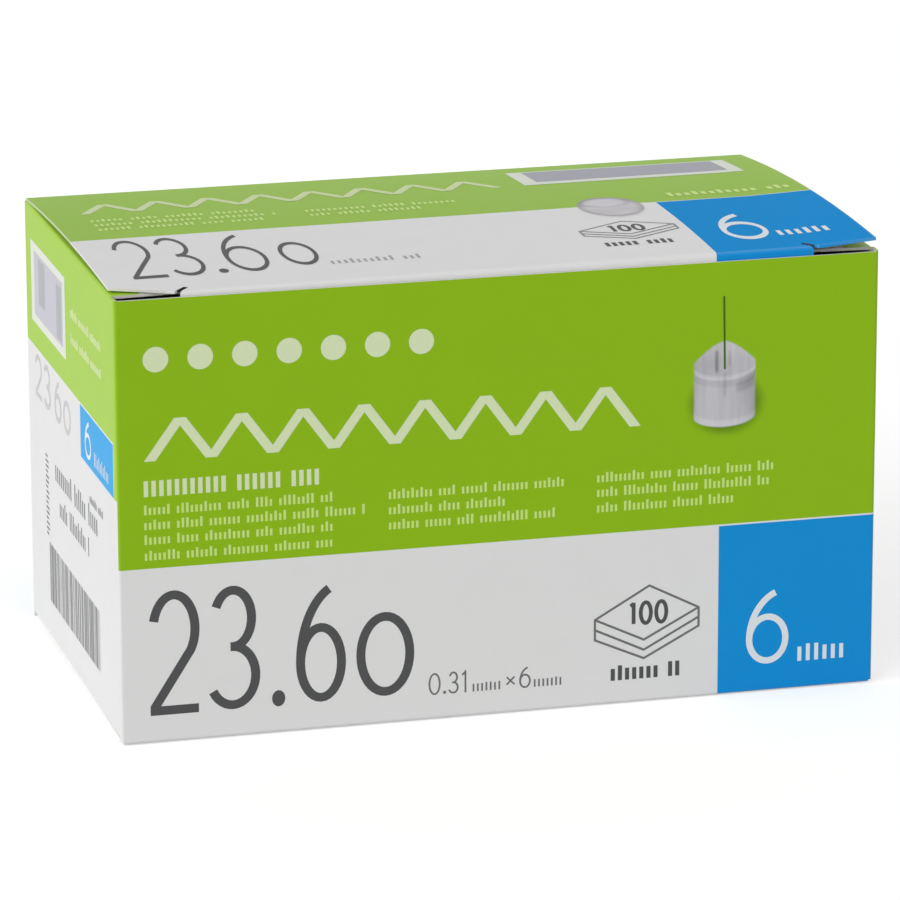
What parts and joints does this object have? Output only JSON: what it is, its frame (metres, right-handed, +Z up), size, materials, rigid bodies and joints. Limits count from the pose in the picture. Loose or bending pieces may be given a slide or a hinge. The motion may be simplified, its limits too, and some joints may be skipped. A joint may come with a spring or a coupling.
{
  "type": "pen needle carton",
  "caption": "Folding carton with a bowed tuck lid hinged at its long rear edge, holding sealed pen-needle pods in layers and a folded leaflet.",
  "frame": {"origin": "middle of the underside, on the surface that the carton stands on", "axes": "+X to the right along the front, +Y from the front to the back, +Z up"},
  "size_m": [0.14, 0.081, 0.084],
  "materials": {
    "printed_board": "coated carton board, printed in green, white and blue fields, semi-gloss",
    "lid_board": "coated carton board, printed in green, white and blue fields, semi-gloss",
    "leaflet_paper": "thin uncoated paper, folded",
    "pod_plastic": "moulded translucent white plastic with a paper seal"
  },
  "bodies": {
    "carton": {"carton_body": "printed_board", "instruction_leaflet": "leaflet_paper", "needle_pods_layer_1": "pod_plastic", "needle_pods_layer_2": "pod_plastic", "needle_pods_layer_3": "pod_plastic"},
    "lid": {"tuck_lid": "lid_board"}
  },
  "joints": [
    {"name": "lid_hinge", "type": "hinge", "parent": "carton", "child": "lid", "pos_m": [0, 0.0405, 0.081], "axis": [-1, 0, 0], "range_deg": [0, 180]}
  ]
}
